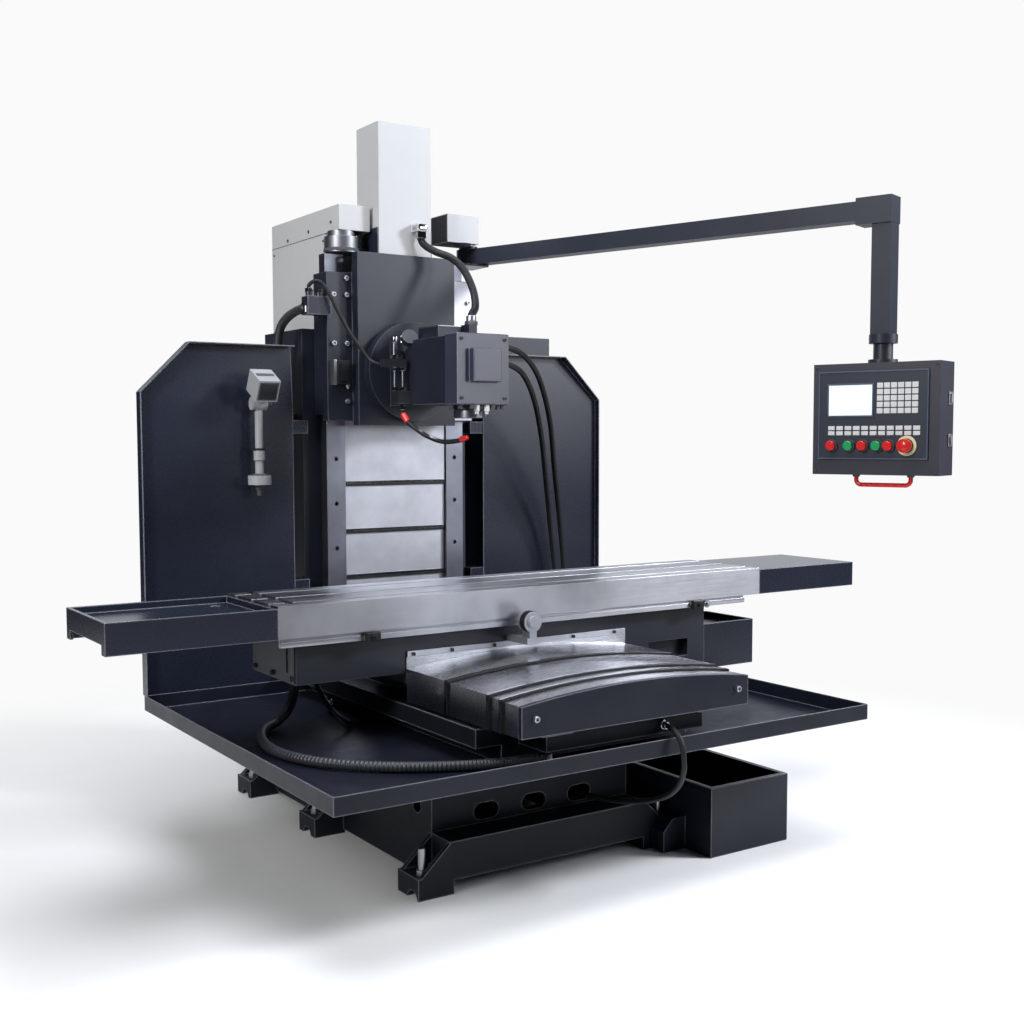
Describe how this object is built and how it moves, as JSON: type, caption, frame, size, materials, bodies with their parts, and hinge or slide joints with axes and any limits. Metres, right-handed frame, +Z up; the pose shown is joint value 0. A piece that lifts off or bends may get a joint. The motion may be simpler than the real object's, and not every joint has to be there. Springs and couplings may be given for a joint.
{
  "type": "cnc machining center",
  "caption": "Bed-type CNC milling machine with T-slot table, telescopic way covers, swivel head and pendant on a swing arm.",
  "frame": {"origin": "on the floor, at the centre of the four outer anchor holes, which open at the underside of the feet", "axes": "+Z up, +X along the table to the right, -Y towards the operator"},
  "size_m": [2.483, 2.0072, 2.172],
  "materials": {
    "dark_cast_iron": "satin",
    "dark_paint": "satin",
    "white_paint": "satin",
    "steel": "satin",
    "stainless": "satin",
    "chrome": "polished",
    "black_plastic": "matte",
    "grey_plastic": "matte",
    "screen": "gloss",
    "red_plastic": "gloss",
    "green_plastic": "gloss",
    "rubber": "matte"
  },
  "bodies": {
    "frame": {"bed_casting": "dark_cast_iron", "levelling_bolts": "steel", "chip_tray": "dark_paint", "left_guard": "dark_paint", "right_guard": "dark_paint", "column": "dark_cast_iron", "z_rails": "steel", "drive_cabinet": "white_paint", "belt_cover": "white_paint", "z_motor": "dark_paint", "arm_pivot": "dark_paint", "junction_box": "white_paint", "coolant_tank": "dark_paint", "electrical_cabinet": "dark_paint", "y_cover_fixed": "stainless", "z_cover_fixed": "stainless", "lamp_base": "white_paint", "supply_conduit": "rubber", "right_hose_upper": "rubber", "right_hose_lower": "rubber", "tray_conduit": "rubber", "front_cable": "rubber"},
    "z_screw": {"z_ball_screw": "steel"},
    "saddle": {"saddle": "dark_cast_iron", "y_cover_carrier": "stainless", "x_motor": "dark_paint", "limit_switch": "chrome"},
    "table": {"table": "steel", "left_end_tray": "dark_paint", "right_end_tray": "dark_paint", "dog_rail": "steel"},
    "y_cover_rear": {"y_cover_rear": "stainless"},
    "y_cover_front": {"y_cover_front": "stainless"},
    "z_cover_upper": {"z_cover_upper": "stainless"},
    "z_cover_lower": {"z_cover_lower": "stainless"},
    "head": {"head_slide": "dark_cast_iron", "motor_cover": "white_paint", "spindle_motor": "dark_paint", "valve_block": "dark_paint", "z_cover_top": "stainless", "head_conduit": "rubber", "coolant_hose": "rubber"},
    "swivel_head": {"headstock": "dark_cast_iron", "gearbox_cover": "dark_cast_iron", "coolant_manifold": "steel"},
    "spindle": {"spindle": "steel"},
    "arm": {"pendant_arm": "dark_paint"},
    "pendant": {"pendant_case": "dark_paint", "pendant_panel": "black_plastic", "pendant_screen": "screen", "pendant_keys": "grey_plastic", "pendant_handle": "red_plastic"},
    "lamp_stem": {"lamp_stem": "white_paint"},
    "lamp_head": {"lamp_head": "white_paint"},
    "button_1": {"button_1": "red_plastic"},
    "button_2": {"button_2": "green_plastic"},
    "button_3": {"button_3": "red_plastic"},
    "button_4": {"button_4": "green_plastic"},
    "button_5": {"button_5": "red_plastic"},
    "emergency_stop": {"emergency_stop": "red_plastic"}
  },
  "joints": [
    {"name": "y_slide", "type": "slide", "parent": "frame", "child": "saddle", "axis": [0, 1, 0], "range_m": [-0.06, 0.34]},
    {"name": "x_slide", "type": "slide", "parent": "saddle", "child": "table", "axis": [1, 0, 0], "range_m": [-0.468, 0.332]},
    {"name": "z_slide", "type": "slide", "parent": "frame", "child": "head", "axis": [0, 0, 1], "range_m": [-0.38, 0]},
    {"name": "y_cover_rear_slide", "type": "slide", "parent": "frame", "child": "y_cover_rear", "axis": [0, 1, 0], "range_m": [-0.051, 0.289]},
    {"name": "y_cover_front_slide", "type": "slide", "parent": "frame", "child": "y_cover_front", "axis": [0, 1, 0], "range_m": [-0.024, 0.136]},
    {"name": "z_cover_upper_slide", "type": "slide", "parent": "frame", "child": "z_cover_upper", "axis": [0, 0, 1], "range_m": [-0.2535, 0]},
    {"name": "z_cover_lower_slide", "type": "slide", "parent": "frame", "child": "z_cover_lower", "axis": [0, 0, 1], "range_m": [-0.127, 0]},
    {"name": "z_screw_turn", "type": "hinge", "parent": "frame", "child": "z_screw", "pos_m": [-0.15, 0.4, 1], "axis": [0, 0, 1], "range_deg": [-13700, 0]},
    {"name": "head_swivel", "type": "hinge", "parent": "head", "child": "swivel_head", "pos_m": [0, 0.18, 1.395], "axis": [0, 1, 0], "range_deg": [-45, 45]},
    {"name": "spindle_spin", "type": "hinge", "parent": "swivel_head", "child": "spindle", "pos_m": [0, -0.175, 1.3], "axis": [0, 0, 1], "continuous": true},
    {"name": "arm_swing", "type": "hinge", "parent": "frame", "child": "arm", "pos_m": [0.318, 0.345, 1.793], "axis": [0, 0, 1], "range_deg": [-50, 85]},
    {"name": "pendant_swivel", "type": "hinge", "parent": "arm", "child": "pendant", "pos_m": [0.76981, -1.05384, 1.44], "axis": [0, 0, 1], "range_deg": [-90, 90]},
    {"name": "lamp_swivel", "type": "hinge", "parent": "frame", "child": "lamp_stem", "pos_m": [-0.482, 0.262, 1.118], "axis": [0, 0, 1], "range_deg": [-80, 80]},
    {"name": "lamp_tilt", "type": "hinge", "parent": "lamp_stem", "child": "lamp_head", "pos_m": [-0.482, 0.262, 1.29], "axis": [1, 0, 0], "range_deg": [-25, 60]},
    {"name": "button_1_press", "type": "slide", "parent": "pendant", "child": "button_1", "axis": [0.9516, 0.3074, 0], "range_m": [0, 0.005], "stiffness_N_per_m": 800, "springref_m": -0.002},
    {"name": "button_2_press", "type": "slide", "parent": "pendant", "child": "button_2", "axis": [0.9516, 0.3074, 0], "range_m": [0, 0.005], "stiffness_N_per_m": 800, "springref_m": -0.002},
    {"name": "button_3_press", "type": "slide", "parent": "pendant", "child": "button_3", "axis": [0.9516, 0.3074, 0], "range_m": [0, 0.005], "stiffness_N_per_m": 800, "springref_m": -0.002},
    {"name": "button_4_press", "type": "slide", "parent": "pendant", "child": "button_4", "axis": [0.9516, 0.3074, 0], "range_m": [0, 0.005], "stiffness_N_per_m": 800, "springref_m": -0.002},
    {"name": "button_5_press", "type": "slide", "parent": "pendant", "child": "button_5", "axis": [0.9516, 0.3074, 0], "range_m": [0, 0.005], "stiffness_N_per_m": 800, "springref_m": -0.002},
    {"name": "emergency_stop_press", "type": "slide", "parent": "pendant", "child": "emergency_stop", "axis": [0.9516, 0.3074, 0], "range_m": [0, 0.005], "stiffness_N_per_m": 800, "springref_m": -0.002}
  ],
  "couplings": [
    {"joint": "y_cover_rear_slide", "follows": "y_slide", "ratio": 0.85},
    {"joint": "y_cover_front_slide", "follows": "y_slide", "ratio": 0.4},
    {"joint": "z_cover_upper_slide", "follows": "z_slide", "ratio": 0.6667},
    {"joint": "z_cover_lower_slide", "follows": "z_slide", "ratio": 0.3333},
    {"joint": "z_screw_turn", "follows": "z_slide", "rad_per_m": 628.32}
  ]
}
